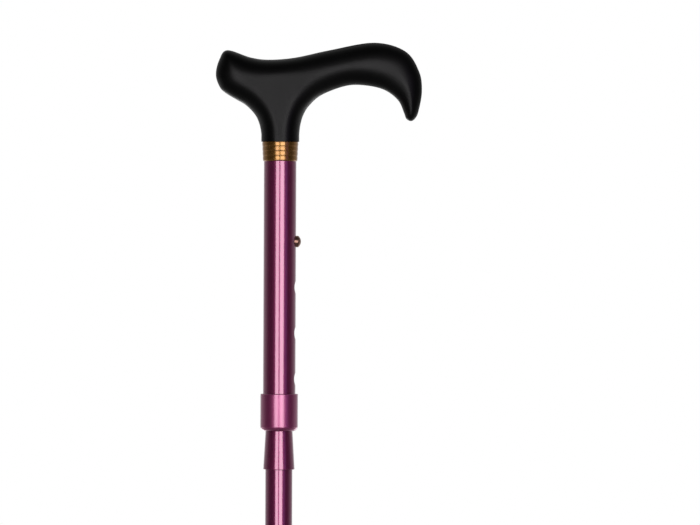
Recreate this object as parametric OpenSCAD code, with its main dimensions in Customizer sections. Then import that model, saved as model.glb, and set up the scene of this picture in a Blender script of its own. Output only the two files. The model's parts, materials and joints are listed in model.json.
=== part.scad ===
// Folding walking cane: derby handle, height-adjustable upper shaft and four
// lower sections joined by tapered spigots on an elastic cord.
// The shaft's axis is Z, the foot stands on Z = 0 and the handle's nose points to +X.

/* [Handle] */
// Length of the handle from tail to nose
handle_l = 114; // [105:1:130]
// Height of the handle above its collar
handle_h = 55; // [52:0.5:62]
// Thickness of the handle over the shaft
handle_t = 22; // [20:0.5:28]
// Width of the rounding along the handle's edges
handle_edge = 8.5; // [6:0.5:9]
// Wall of the handle's neck around the upper tube
neck_wall = 1.5; // [1:0.1:2.5]
// Straight height of the neck above the collar
neck_rise = 4; // [3:0.5:6]
// Depth of the upper tube inside the handle
grip_depth = 30; // [20:1:34]

/* [Collar] */
// Height of the gold collar
collar_h = 10.8; // [8:0.2:16]
// Wall of the collar at its upper edge
collar_top_wall = 1.1; // [0.9:0.1:1.4]
// Wall of the collar at its lower edge
collar_low_wall = 0.6; // [0.5:0.05:0.9]
// Number of beads around the collar
collar_beads = 4; // [2:1:6]

/* [Shaft] */
// Outer diameter of the sliding tube and the lower sections
tube_d = 15; // [13:0.5:17]
// Wall of the sliding tube and the lower sections
tube_wall = 1.1; // [0.9:0.1:1.5]
// Wall of the upper tube
outer_wall = 1.2; // [1:0.1:1.6]
// Exposed length of each lower section
section_pitch = 160; // [140:1:190]
// Length of the flared socket at the end of a tube
flare_l = 21; // [16:1:28]

/* [Height adjustment] */
// Distance between adjustment holes
hole_pitch = 25.4; // [20:0.1:30]
// Number of adjustment holes
hole_count = 4; // [3:1:5]
// Distance from the lock ring to the lowest hole
hole_margin = 8.1; // [6:0.1:14]
// Distance from the top hole to the collar
collar_margin = 44.4; // [40:0.1:60]
// Diameter of the snap button
button_d = 6.4; // [5:0.1:7]
// Height of the button above the upper tube
button_out = 2.7; // [1.8:0.1:3.2]
// Length of the lock ring
ring_l = 20.6; // [17:0.1:26]
// Wall of the lock ring around the upper tube
ring_wall = 1.4; // [1.2:0.1:2.2]

/* [Foot] */
// Height of the rubber tip
tip_h = 34; // [30:1:42]
// Thickness of the rubber under the tube
tip_floor = 10; // [8:0.5:12]
// Wall of the tip's sleeve
tip_wall = 2.6; // [2:0.1:3.4]
// Reach of the tip's base beyond the tube
tip_reach = 5.5; // [4.6:0.1:6.5]

/* [Cord] */
// Diameter of the elastic cord
cord_d = 4; // [3:0.2:5]

/* [Hidden] */
// Clearance of the sliding tube in the upper tube
slide_clear = 0.3;
// Clearance of a spigot in its flared socket
joint_clear = 0.1;
// Clearance of glued and pressed fits
bond_clear = 0.05;
// Clearance of the lock ring's thread and of the pieces that run in it
thread_clear = 0.15;
// Clearance of loose holes and of pieces that pass each other
pass_clear = 0.3;
// Overrun of every cut past the face that it opens
overrun = 1;
// Angle between the points of a drawn arc
arc_step = 15;
// Pieces between two points of the handle's outline
outline_steps = 4;
$fn = 96;

tube_r = tube_d / 2;
bore_r = tube_r - tube_wall;
outer_in_r = tube_r + slide_clear;
outer_r = outer_in_r + outer_wall;
mouth_in_r = tube_r + joint_clear;
mouth_r = mouth_in_r + tube_wall;
spigot_l = flare_l - overrun;
taper = (mouth_in_r - bore_r) / flare_l;

// Heights along the shaft, from the foot up
joint_count = 4;
function mouth_z(k) = (joint_count + 1 - k) * section_pitch;
ring_z = mouth_z(1) + flare_l + pass_clear;
ring_top_z = ring_z + ring_l;
button_z = ring_top_z + hole_margin + (hole_count - 1) * hole_pitch;
collar_z = button_z + collar_margin;
handle_z = collar_z + collar_h;
outer_top_z = handle_z + grip_depth - pass_clear;

// Lock ring and the split olive that it squeezes onto the sliding tube
ring_r = outer_r + ring_wall;
ring_round = 2.6;
ring_lip = 1.6;
olive_l = 5.4;
ring_edge = 0.3;
outer_low_z = ring_z + ring_lip + olive_l;
olive_wall_low = 0.7;
olive_wall_top = 1.2;
olive_slit = 1;

// Snap button on its hairpin leaf
leaf_t = 0.6;
leaf_w = 5;
leaf_rise = 16;
leaf_drop = 5;
leaf_x = sqrt(pow(bore_r, 2) - pow(leaf_w / 2, 2)) - thread_clear;
button_r = button_d / 2;
button_dome = 1.5;
button_hole_r = button_r + slide_clear;
guide_cap = 1.5;
guide_l = 5;
inner_top_z = button_z + leaf_rise + leaf_x + guide_l + pass_clear;

// Elastic cord, its anchors and its knots
cord_r = cord_d / 2;
cord_hole_r = cord_r + pass_clear;
anchor_l = 12;
anchor_gap = 16;
knot_r = cord_r * 2.1;
knot_sink = knot_r * 0.76;
upper_anchor_z = button_z - anchor_gap - anchor_l;

// Rubber tip
washer_t = 1.5;
tube_low_z = tip_floor + washer_t;
knot_room = 13;
lower_anchor_z = tube_low_z + knot_room;
sleeve_r = tube_r + tip_wall;
tip_base_r = tube_r + tip_reach;
tip_step_r = (sleeve_r + tip_base_r) / 2;
tip_bead = 0.8;
tread_depth = 1.2;
tread_land = 3.4;
tread_edge = 0.8;
base_h_share = 0.22;
step_h_share = 0.45;
bead_h_share = 0.14;

neck_r = outer_r + neck_wall;
// Outline of the handle from its tail over the top to the nose and back under
// the arch: shares of its length, of its height and of its edge rounding
outline_shares = [
    [-0.138, 0.319, 1.00],
    [-0.209, 0.419, 0.95],
    [-0.293, 0.546, 0.75],
    [-0.313, 0.697, 0.65],
    [-0.298, 0.819, 0.48],
    [-0.260, 0.921, 0.30],
    [-0.146, 0.847, 0.75],
    [-0.056, 0.825, 1.00],
    [0.071, 0.847, 1.00],
    [0.235, 0.921, 1.00],
    [0.454, 1.000, 1.00],
    [0.604, 0.917, 1.00],
    [0.672, 0.717, 0.95],
    [0.687, 0.519, 0.80],
    [0.671, 0.315, 0.42],
    [0.633, 0.213, 0.12],
    [0.600, 0.296, 0.38],
    [0.571, 0.421, 0.66],
    [0.503, 0.526, 0.92],
    [0.408, 0.570, 1.00],
    [0.316, 0.563, 1.00],
    [0.198, 0.472, 1.00],
    [0.125, 0.320, 1.00]
];
neck_edge = min(handle_edge, neck_r - neck_wall);
neck_shares = [0, 1];
neck_flare_shares = [[0.174, 0.413], [0.50, 0.725]];
bar_knots = [for (s = outline_shares) [s[0] * handle_l, s[1] * handle_h, s[2] * handle_edge]];

// Neck on the tail's side (-1) or the nose's side (1): straight up from the collar,
// then flared towards the bar's point p
function neck_knots(side, p) = concat(
    [for (s = neck_shares) [side * neck_r, s * neck_rise, neck_edge]],
    [
        for (s = neck_flare_shares)
        [
            side * neck_r + s[0] * (p[0] - side * neck_r),
            neck_rise + s[1] * (p[1] - neck_rise),
            neck_edge
        ]
    ]
);
function reversed(list) = [for (i = [len(list) - 1 : -1 : 0]) list[i]];

outline_knots = concat(
    neck_knots(-1, bar_knots[0]),
    bar_knots,
    reversed(neck_knots(1, bar_knots[len(bar_knots) - 1]))
);

// Point at share t between knots b and c of a smooth curve through a, b, c and d
function curve_point(a, b, c, d, t) =
    b + t * (c - a) / 2
    + pow(t, 2) * (2 * a - 5 * b + 4 * c - d) / 2
    + pow(t, 3) * (3 * (b - c) + d - a) / 2;

last_knot = len(outline_knots) - 1;
function outline_knot(i) =
    i < 0 ? 2 * outline_knots[0] - outline_knots[1]
    : i > last_knot ? 2 * outline_knots[last_knot] - outline_knots[last_knot - 1]
    : outline_knots[i];

// The neck's straight runs at both ends are one piece each
function span_steps(i) = i == 0 || i == last_knot - 1 ? 1 : outline_steps;
outline = concat(
    [
        for (i = [0 : last_knot - 1], s = [0 : span_steps(i) - 1])
        curve_point(
            outline_knot(i - 1), outline_knot(i), outline_knot(i + 1), outline_knot(i + 2),
            s / span_steps(i)
        )
    ],
    [outline_knots[last_knot]]
);
outline_n = len(outline);

// Unit normal of the outline at point i, towards the inside
function inward(i) =
    let (a = outline[max(i - 1, 0)])
    let (b = outline[min(i + 1, outline_n - 1)])
    let (run = norm([b[0] - a[0], b[1] - a[1]]))
    [(b[1] - a[1]) / run, (a[0] - b[0]) / run];

// Half thickness of the handle at x: full over the shaft, less by the square of the way
// to the nose's front or to the tail's end, where these shares of it are lost
nose_thin_share = 0.45;
tail_thin_share = 0.2;
nose_x = max([for (p = outline) p[0]]);
tail_x = min([for (p = outline) p[0]]);
function half_t(x) =
    let (thin = x > 0 ? nose_thin_share : tail_thin_share)
    let (way = x > 0 ? x / nose_x : x / tail_x)
    handle_t / 2 * (1 - thin * pow(way, 2));

// One closed ring of the handle: the outline drawn in by its edge rounding at an angle
function handle_ring(angle) = [
    for (i = [0 : outline_n - 1])
    let (inset = outline[i][2] * (1 - cos(angle)))
    let (n = inward(i))
    let (x = outline[i][0] + inset * n[0])
    [x, half_t(x) * sin(angle), handle_z + outline[i][1] + inset * n[1]]
];

// Flank of the handle as triangles: strips across the neck, the tail and the nose,
// each between outline points i and sum - i, and the middle where the strips meet
saddle_knot = 7;
nose_knot = 15;
function bar_point(k) = 1 + (len(neck_flare_shares) + 1 + k) * outline_steps;
function strip(first, last, sum) = [
    for (i = [first : last - 1])
    each concat(
        [[i, i + 1, sum - i]],
        i + 1 < sum - i - 1 ? [[i + 1, sum - i - 1, sum - i]] : []
    )
];
tail_i = bar_point(0);
saddle_i = bar_point(saddle_knot);
nose_i = bar_point(nose_knot);
arch_i = bar_point(len(outline_shares) - 1);
flank_faces = concat(
    strip(0, tail_i, outline_n - 1),
    strip(tail_i, (tail_i + saddle_i) / 2, tail_i + saddle_i),
    strip(saddle_i + outline_steps, nose_i, 2 * nose_i),
    [[tail_i, saddle_i, arch_i]],
    [for (i = [saddle_i : saddle_i + outline_steps - 1]) [i, i + 1, arch_i]]
);

tube_colour = [0.48, 0.18, 0.42];
handle_colour = [0.07, 0.07, 0.07];
gold_colour = [0.72, 0.5, 0.16];
nylon_colour = [0.85, 0.84, 0.8];
cord_colour = [0.2, 0.2, 0.22];
rubber_colour = [0.1, 0.1, 0.1];
steel_colour = [0.62, 0.63, 0.65];

// Plain ring between two heights
module sleeve(r, hole, low, high) {
    difference() {
        translate([0, 0, low])
            cylinder(r = r, h = high - low);
        translate([0, 0, low - overrun])
            cylinder(r = hole, h = high - low + 2 * overrun);
    }
}

// Drawn tube that ends at its lower end in a flared socket
module flared_tube(top, mouth) {
    flare = mouth + flare_l;
    color(tube_colour)
        rotate_extrude()
            polygon([
                [bore_r, top], [tube_r, top], [tube_r, flare], [mouth_r, mouth],
                [mouth_in_r, mouth], [bore_r, flare]
            ]);
}

// Cylinder along X through one wall of a tube, for the snap button
module button_bore(z) {
    translate([0, 0, z])
        rotate([0, 90, 0])
            cylinder(r = button_hole_r, h = ring_r + button_out);
}

// Solid handle of oval section, as rings from one side to the other
module handle_solid() {
    rings = [for (a = [-90 : arc_step : 90]) handle_ring(a)];
    ring_n = len(rings);
    points = [for (r = rings) each r];
    function at(r, i) = r * outline_n + i % outline_n;
    sides = [
        for (r = [0 : ring_n - 2], i = [0 : outline_n - 1])
        each [
            [at(r, i), at(r + 1, i + 1), at(r, i + 1)],
            [at(r, i), at(r + 1, i), at(r + 1, i + 1)]
        ]
    ];
    far = [for (f = flank_faces) [for (i = reversed(f)) at(ring_n - 1, i)]];
    polyhedron(points, concat(sides, flank_faces, far));
}

module handle() {
    color(handle_colour)
        difference() {
            handle_solid();
            translate([0, 0, handle_z - overrun])
                cylinder(r = outer_r + bond_clear, h = grip_depth + overrun);
        }
}

module gold_collar() {
    bead_h = collar_h / collar_beads;
    bead_r = bead_h / 2;
    lean = (collar_top_wall - collar_low_wall) / collar_h;
    groove = collar_low_wall / 2;
    color(gold_colour)
        rotate_extrude()
            difference() {
                polygon([
                    [outer_r + bond_clear, collar_z],
                    [outer_r + collar_low_wall, collar_z],
                    [outer_r + collar_top_wall, handle_z],
                    [outer_r + bond_clear, handle_z]
                ]);
                for (b = [1 : collar_beads - 1])
                    translate([
                        outer_r + collar_low_wall + lean * b * bead_h + groove,
                        collar_z + b * bead_h
                    ])
                        circle(r = groove * 2);
            }
}

module upper_tube() {
    color(tube_colour)
        difference() {
            sleeve(outer_r, outer_in_r, outer_low_z, outer_top_z);
            for (h = [0 : hole_count - 1])
                button_bore(button_z - h * hole_pitch);
        }
}

module lock_ring() {
    low_in_r = tube_r + thread_clear + olive_wall_low + thread_clear;
    thread_r = outer_r + thread_clear;
    color(tube_colour)
        rotate_extrude()
            difference() {
                union() {
                    translate([0, ring_z])
                        square([ring_r - ring_round, ring_l]);
                    translate([0, ring_z + ring_round])
                        square([ring_r, ring_l - ring_round - ring_edge]);
                    translate([0, ring_z + ring_round])
                        square([ring_r - ring_edge, ring_l - ring_round]);
                    translate([ring_r - ring_edge, ring_top_z - ring_edge])
                        circle(r = ring_edge);
                    translate([ring_r - ring_round, ring_z + ring_round])
                        circle(r = ring_round);
                }
                translate([0, ring_z - overrun])
                    square([tube_r + slide_clear + joint_clear, ring_l]);
                polygon([
                    [0, ring_z + ring_lip], [low_in_r, ring_z + ring_lip],
                    [thread_r, outer_low_z], [thread_r, ring_top_z + overrun],
                    [0, ring_top_z + overrun]
                ]);
            }
}

module clamp_olive() {
    in_r = tube_r + thread_clear;
    low = ring_z + ring_lip + bond_clear;
    high = outer_low_z - bond_clear;
    color(nylon_colour)
        difference() {
            rotate_extrude()
                polygon([
                    [in_r, low], [in_r + olive_wall_low, low],
                    [in_r + olive_wall_top, high], [in_r, high]
                ]);
            translate([-ring_r, -olive_slit / 2, low - overrun])
                cube([ring_r, olive_slit, olive_l + 2 * overrun]);
        }
}

module sliding_tube() {
    color(tube_colour)
        difference() {
            flared_tube(inner_top_z, mouth_z(1));
            button_bore(button_z);
        }
}

module guide_plug() {
    color(nylon_colour)
        difference() {
            union() {
                translate([0, 0, inner_top_z - guide_l])
                    cylinder(r = bore_r - bond_clear, h = guide_l);
                translate([0, 0, inner_top_z])
                    cylinder(r = tube_r, h = guide_cap);
            }
            translate([0, 0, inner_top_z - guide_l - overrun])
                cylinder(r = cord_hole_r, h = guide_l + guide_cap + 2 * overrun);
        }
}

module snap_button() {
    bend_z = button_z + leaf_rise;
    leg_l = leaf_rise + leaf_drop;
    stem = outer_r + button_out - leaf_x + leaf_t;
    dome_r = (pow(button_r, 2) + pow(button_dome, 2)) / (2 * button_dome);
    color(gold_colour)
        union() {
            translate([0, leaf_w / 2, bend_z])
                rotate([90, 0, 0])
                    linear_extrude(leaf_w)
                        difference() {
                            union() {
                                circle(r = leaf_x);
                                translate([-leaf_x, -leg_l])
                                    square([2 * leaf_x, leg_l]);
                            }
                            circle(r = leaf_x - leaf_t);
                            translate([leaf_t - leaf_x, -leg_l - overrun])
                                square([2 * (leaf_x - leaf_t), leg_l + overrun]);
                        }
            intersection() {
                translate([leaf_x - leaf_t, 0, button_z])
                    rotate([0, 90, 0])
                        cylinder(r = button_r, h = stem);
                translate([outer_r + button_out - dome_r, 0, button_z])
                    rotate([0, 90, 0])
                        union() {
                            sphere(r = dome_r);
                            translate([0, 0, -stem])
                                cylinder(r = button_r + overrun, h = stem + dome_r - button_dome);
                        }
            }
        }
}

// Plug pressed into a tube to hold the cord's knotted end
module cord_anchor(low) {
    color(nylon_colour)
        sleeve(bore_r - bond_clear, cord_hole_r, low, low + anchor_l);
}

// Knot of the cord, seated on its plug at height z, above it (1) or below it (-1)
module knot(z, side) {
    color(cord_colour)
        intersection() {
            translate([0, 0, z + side * knot_sink])
                sphere(r = knot_r);
            translate([-knot_r, -knot_r, side > 0 ? z : z - 2 * knot_r])
                cube(2 * knot_r);
        }
}

module upper_cord_anchor() {
    cord_anchor(upper_anchor_z);
}

module upper_knot() {
    knot(upper_anchor_z + anchor_l, 1);
}

module lower_cord_anchor() {
    cord_anchor(lower_anchor_z);
}

module lower_knot() {
    knot(lower_anchor_z, -1);
}

// Tapered end of a lower section, seated in the socket of the tube above
module joint_spigot(k) {
    low = mouth_z(k);
    top_r = tube_r - taper * spigot_l;
    color(tube_colour)
        rotate_extrude()
            polygon([
                [bore_r, low], [tube_r, low], [top_r, low + spigot_l],
                [top_r - tube_wall, low + spigot_l]
            ]);
}

// Lower section k, from the joint above it down to its own socket or to the foot
module shaft_section(k) {
    if (k <= joint_count)
        flared_tube(mouth_z(k - 1), mouth_z(k));
    else
        color(tube_colour)
            sleeve(tube_r, bore_r, tube_low_z, mouth_z(k - 1));
}

// Length of the elastic cord inside section k
module elastic_cord(k) {
    high = k == 1 ? upper_anchor_z + anchor_l : mouth_z(k - 1);
    low = k > joint_count ? lower_anchor_z : mouth_z(k);
    color(cord_colour)
        translate([0, 0, low])
            cylinder(r = cord_r, h = high - low);
}

module tip_washer() {
    color(steel_colour)
        sleeve(tube_r, cord_r, tip_floor, tip_floor + washer_t);
}

module rubber_tip() {
    base_h = tip_h * base_h_share;
    step_h = tip_h * step_h_share;
    bead_z = tip_h * (1 - bead_h_share);
    land_r = tip_base_r - tread_edge;
    color(rubber_colour)
        rotate_extrude()
            polygon([
                [0, 0], [land_r - 2 * tread_land, 0],
                [land_r - 2 * tread_land, tread_depth], [land_r - tread_land, tread_depth],
                [land_r - tread_land, 0], [land_r, 0],
                [tip_base_r, tread_edge], [tip_base_r, base_h - tread_edge],
                [land_r, base_h], [tip_step_r, base_h + tread_edge],
                [tip_step_r, step_h], [sleeve_r, step_h + tread_edge],
                [sleeve_r, bead_z], [sleeve_r + tip_bead, bead_z + tip_bead],
                [sleeve_r + tip_bead, tip_h - tip_bead], [sleeve_r, tip_h],
                [tube_r + bond_clear, tip_h], [tube_r + bond_clear, tip_floor],
                [0, tip_floor]
            ]);
}

handle();
gold_collar();
upper_tube();
lock_ring();
clamp_olive();
sliding_tube();
guide_plug();
snap_button();
upper_cord_anchor();
upper_knot();
joint_spigot(1);  // joint_spigot_1
joint_spigot(2);  // joint_spigot_2
joint_spigot(3);  // joint_spigot_3
joint_spigot(4);  // joint_spigot_4
shaft_section(2);  // shaft_section_2
shaft_section(3);  // shaft_section_3
shaft_section(4);  // shaft_section_4
shaft_section(5);  // shaft_section_5
elastic_cord(1);  // elastic_cord_1
elastic_cord(2);  // elastic_cord_2
elastic_cord(3);  // elastic_cord_3
elastic_cord(4);  // elastic_cord_4
elastic_cord(5);  // elastic_cord_5
lower_cord_anchor();
lower_knot();
tip_washer();
rubber_tip();
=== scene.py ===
import json
import math

import bmesh
import bpy
import numpy as np
from mathutils import Matrix, Vector


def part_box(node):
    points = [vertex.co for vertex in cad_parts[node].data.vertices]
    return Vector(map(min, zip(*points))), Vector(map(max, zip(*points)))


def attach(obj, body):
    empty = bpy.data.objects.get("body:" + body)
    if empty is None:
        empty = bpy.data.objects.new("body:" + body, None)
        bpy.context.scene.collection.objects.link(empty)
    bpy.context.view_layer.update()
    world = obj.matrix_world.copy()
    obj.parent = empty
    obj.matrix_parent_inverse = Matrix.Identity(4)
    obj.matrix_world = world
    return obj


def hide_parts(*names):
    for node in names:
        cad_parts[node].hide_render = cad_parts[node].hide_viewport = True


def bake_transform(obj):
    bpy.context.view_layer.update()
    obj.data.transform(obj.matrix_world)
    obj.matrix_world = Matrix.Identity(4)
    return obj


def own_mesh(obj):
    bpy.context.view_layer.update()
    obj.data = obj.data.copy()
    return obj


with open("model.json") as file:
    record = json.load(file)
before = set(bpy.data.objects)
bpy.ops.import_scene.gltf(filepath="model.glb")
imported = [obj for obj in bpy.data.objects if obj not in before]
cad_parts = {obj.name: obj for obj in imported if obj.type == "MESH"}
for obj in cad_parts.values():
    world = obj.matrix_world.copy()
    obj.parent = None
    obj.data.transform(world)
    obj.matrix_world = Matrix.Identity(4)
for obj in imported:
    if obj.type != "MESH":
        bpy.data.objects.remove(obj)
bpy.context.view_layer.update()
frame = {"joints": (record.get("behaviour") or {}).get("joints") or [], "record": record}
mm = 0.001
fullTurn = 2 * math.pi


# Mesh helpers

# corners of every quad of a grid of points, as indices into the flattened grid
def gridFaces(rows, columns, wrapRows=False, wrapColumns=True):
    i = np.arange(rows if wrapRows else rows - 1)[:, None]
    j = np.arange(columns if wrapColumns else columns - 1)[None, :]
    iNext = (i + 1) % rows
    jNext = (j + 1) % columns
    corners = [i * columns + j, i * columns + jNext, iNext * columns + jNext, iNext * columns + j]
    return np.stack(corners, -1).reshape(-1, 4)


# map corners of the same quads: columns at u, with the seam's column at both ends, and rows at v
def gridUv(u, v):
    places = np.stack(np.meshgrid(u, v), -1)
    corners = [places[:-1, :-1], places[:-1, 1:], places[1:, 1:], places[1:, :-1]]
    return np.stack(corners, 2).reshape(-1, 4, 2)


# six times the volume that a set of quads closes off, negative where they face inwards
def signedVolume(points, faces):
    a, b, c, d = (points[faces[:, k]] for k in range(4))
    return np.sum(a * np.cross(b, c)) + np.sum(a * np.cross(c, d))


# one closed mesh object: quads are turned outwards, doubles at poles and seams are merged
def makePiece(name, points, faces, material, cornerUv=None, sharpDegrees=35):
    if signedVolume(points, faces) < 0:
        faces = faces[:, ::-1]
        cornerUv = None if cornerUv is None else cornerUv[:, ::-1]
    mesh = bpy.data.meshes.new(name)
    mesh.from_pydata(points.tolist(), [], faces.tolist())
    if cornerUv is not None:
        mesh.uv_layers.new(name="alongPiece").data.foreach_set("uv", cornerUv.astype(np.float32).ravel())
    work = bmesh.new()
    work.from_mesh(mesh)
    bmesh.ops.remove_doubles(work, verts=work.verts, dist=0.002 * mm)
    work.to_mesh(mesh)
    work.free()
    mesh.shade_smooth()
    mesh.set_sharp_from_angle(angle=math.radians(sharpDegrees))
    mesh.materials.append(material)
    piece = bpy.data.objects.new(name, mesh)
    bpy.context.scene.collection.objects.link(piece)
    return piece


# a piece takes its body from the CAD node that it stands for, and that node is hidden
def dress(piece, node):
    homes = frame["record"]["behaviour"]["bodies"]
    home = next(body for body, nodes in homes.items() if node in nodes)
    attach(piece, home)
    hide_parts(node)


# profile whose corners (radius, height, rounding) are arcs tangent to their two sides
def roundedProfile(corners, arcSteps=7):
    corners = np.array(corners, float)
    p, size = corners[:, :2], corners[:, 2:]
    toLast = np.roll(p, 1, 0) - p
    toNext = np.roll(p, -1, 0) - p
    toLast /= np.linalg.norm(toLast, axis=1, keepdims=True)
    toNext /= np.linalg.norm(toNext, axis=1, keepdims=True)
    half = np.arccos(np.clip(np.sum(toLast * toNext, 1, keepdims=True), -1, 1)) / 2
    middle = toLast + toNext
    middle /= np.maximum(np.linalg.norm(middle, axis=1, keepdims=True), 1e-9)
    centre = p + middle * size / np.sin(half)
    first = p + toLast * size / np.tan(half) - centre
    last = p + toNext * size / np.tan(half) - centre
    sweep = np.maximum(math.pi - 2 * half, 1e-6)
    t = np.linspace(0, 1, arcSteps)[None, :, None]
    weights = np.sin((1 - t) * sweep[:, None]), np.sin(t * sweep[:, None])
    arc = (weights[0] * first[:, None] + weights[1] * last[:, None]) / np.sin(sweep)[:, None]
    return (centre[:, None] + arc).reshape(-1, 2)


# lathe: each profile point (r, z) goes round the shaft's axis to (r cos a, r sin a, z)
def turnProfile(profile, columns=128):
    angle = np.linspace(0, fullTurn, columns, endpoint=False)
    r, z = profile[:, :1], profile[:, 1:]
    grid = np.stack([r * np.cos(angle), r * np.sin(angle), z + 0 * angle], -1)
    return grid.reshape(-1, 3), gridFaces(len(profile), columns, wrapRows=True)


def turned(name, node, corners, material, arcSteps=7):
    points, faces = turnProfile(roundedProfile(corners, arcSteps))
    dress(makePiece(name, points, faces, material), node)


# points of a smooth curve through knots: cubic spans whose slope at a knot is half the step past it
def smoothCurve(knots, steps):
    ends = [2 * knots[:1] - knots[1:2], knots, 2 * knots[-1:] - knots[-2:-1]]
    k = np.concatenate(ends)
    a, b, c, d = (k[i:len(k) - 3 + i, None] for i in range(4))
    t = (np.arange(steps) / steps)[None, :, None]
    cubic = b + t * (c - a) / 2 + t**2 * (2 * a - 5 * b + 4 * c - d) / 2 + t**3 * (3 * (b - c) + d - a) / 2
    return np.concatenate([cubic.reshape(-1, knots.shape[1]), knots[-1:]])


# Material helpers

def newMaterial(name):
    material = bpy.data.materials.new(name)
    material.use_nodes = True
    return material, material.node_tree.nodes, material.node_tree.links


def addNode(nodes, kind, **values):
    node = nodes.new(kind)
    for key, value in values.items():
        setattr(node, key, value)
    return node


def setSockets(node, **values):
    for key, value in values.items():
        node.inputs[key.replace("_", " ")].default_value = value
    return node


# noise on object coordinates, stretched by scale (x, y, z), as a 0..1 value
def objectNoise(nodes, links, scale, detail):
    place = addNode(nodes, "ShaderNodeTexCoord")
    stretch = setSockets(addNode(nodes, "ShaderNodeMapping"), Scale=scale)
    noise = setSockets(addNode(nodes, "ShaderNodeTexNoise"), Scale=1.0, Detail=detail, Roughness=0.55)
    links.new(place.outputs["Object"], stretch.inputs["Vector"])
    links.new(stretch.outputs["Vector"], noise.inputs["Vector"])
    return noise.outputs["Fac"]


# value spread to low..high; noise seldom leaves 0.3..0.7
def remap(nodes, links, value, low, high, fromLow=0.3, fromHigh=0.7):
    node = addNode(nodes, "ShaderNodeMapRange")
    setSockets(node, From_Min=fromLow, From_Max=fromHigh, To_Min=low, To_Max=high)
    links.new(value, node.inputs["Value"])
    return node.outputs["Result"]


# base colour that goes from the first to the second with a 0..1 value
def mixColour(nodes, links, shader, share, first, second):
    node = addNode(nodes, "ShaderNodeMix", data_type="RGBA")
    node.inputs["A"].default_value = (*first, 1)
    node.inputs["B"].default_value = (*second, 1)
    links.new(share, node.inputs["Factor"])
    links.new(node.outputs["Result"], shader.inputs["Base Color"])


def mixRough(nodes, links, shader, share, low, high):
    links.new(remap(nodes, links, share, low, high), shader.inputs["Roughness"])


def addBump(nodes, links, shader, height, distance, strength):
    bump = setSockets(addNode(nodes, "ShaderNodeBump"), Strength=strength, Distance=distance)
    links.new(height, bump.inputs["Height"])
    links.new(bump.outputs["Normal"], shader.inputs["Normal"])


# Finishes: rough is the least and the most roughness, and bump a depth and its strength

tubePurple = dict(base=(0.262, 0.036, 0.120), flake=(0.295, 0.047, 0.142), rough=(0.26, 0.32), metal=0.75,
                  coatRough=0.06, coatIor=1.9)
ringPurple = dict(base=(0.40, 0.056, 0.19), flake=(0.45, 0.073, 0.225), rough=(0.35, 0.41), metal=0.8,
                  coatRough=0.21, coatIor=1.9)
purpleGrain = dict(flakes=(5200, 5200, 5200), drawn=(2600, 2600, 26), bump=(0.01 * mm, 0.35))


# metallic purple: fine bright flakes and faint lengthwise drawing under a clear coat
def purpleMaterial(name, finish):
    material, nodes, links = newMaterial(name)
    shader = nodes["Principled BSDF"]
    setSockets(shader, Metallic=finish["metal"], Coat_Weight=1.0)
    setSockets(shader, Coat_Roughness=finish["coatRough"], Coat_IOR=finish["coatIor"])
    flakes = objectNoise(nodes, links, purpleGrain["flakes"], detail=1.0)
    mixColour(nodes, links, shader, flakes, finish["base"], finish["flake"])
    drawn = objectNoise(nodes, links, purpleGrain["drawn"], detail=4.0)
    mixRough(nodes, links, shader, drawn, *finish["rough"])
    addBump(nodes, links, shader, drawn, *purpleGrain["bump"])
    return material


black = dict(base=(0.0014, 0.0014, 0.0014), worn=(0.0024, 0.0024, 0.0024), rough=(0.33, 0.43), shine=0.22,
             patches=(28, 28, 28), grain=(3400, 3400, 3400), bump=(0.02 * mm, 0.5))


# satin black moulding: fine grain, with broad patches where hands have polished it a little
def blackMaterial():
    material, nodes, links = newMaterial("satinBlackMoulding")
    shader = nodes["Principled BSDF"]
    setSockets(shader, IOR=1.5, Specular_IOR_Level=black["shine"])
    patches = objectNoise(nodes, links, black["patches"], detail=3.0)
    mixColour(nodes, links, shader, patches, black["base"], black["worn"])
    mixRough(nodes, links, shader, patches, *black["rough"])
    grain = objectNoise(nodes, links, black["grain"], detail=2.0)
    addBump(nodes, links, shader, grain, *black["bump"])
    return material


gold = dict(bright=(0.41, 0.205, 0.052), deep=(0.33, 0.15, 0.032), rough=(0.16, 0.28), metal=0.86, coat=0.8,
            coatRough=0.05, marks=(60, 60, 9000), tone=(160, 160, 420), bump=(0.01 * mm, 0.4))


# polished gold plate: turning marks round the band and deeper colour in patches
def goldMaterial():
    material, nodes, links = newMaterial("goldPlate")
    shader = nodes["Principled BSDF"]
    setSockets(shader, Metallic=gold["metal"], Coat_Weight=gold["coat"], Coat_Roughness=gold["coatRough"])
    marks = objectNoise(nodes, links, gold["marks"], detail=2.0)
    tone = objectNoise(nodes, links, gold["tone"], detail=3.0)
    mixColour(nodes, links, shader, tone, gold["deep"], gold["bright"])
    mixRough(nodes, links, shader, marks, *gold["rough"])
    addBump(nodes, links, shader, marks, *gold["bump"])
    return material


brass = dict(bright=(0.42, 0.25, 0.19), dull=(0.24, 0.12, 0.09), rough=(0.20, 0.36), metal=0.9,
             film=(900, 900, 900), bump=(0.015 * mm, 0.4))


# brass of the button and its leaf: dull film in the hollows, rubbed bright elsewhere
def brassMaterial():
    material, nodes, links = newMaterial("rubbedBrass")
    shader = nodes["Principled BSDF"]
    setSockets(shader, Metallic=brass["metal"])
    film = objectNoise(nodes, links, brass["film"], detail=4.0)
    mixColour(nodes, links, shader, film, brass["dull"], brass["bright"])
    mixRough(nodes, links, shader, film, *brass["rough"][::-1])
    addBump(nodes, links, shader, film, *brass["bump"])
    return material


nylon = dict(pale=(0.80, 0.77, 0.69), warm=(0.72, 0.68, 0.58), rough=(0.42, 0.54), inside=0.15,
             reach=1.5 * mm, cloud=(350, 350, 350), bump=(0.02 * mm, 0.3))


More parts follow.
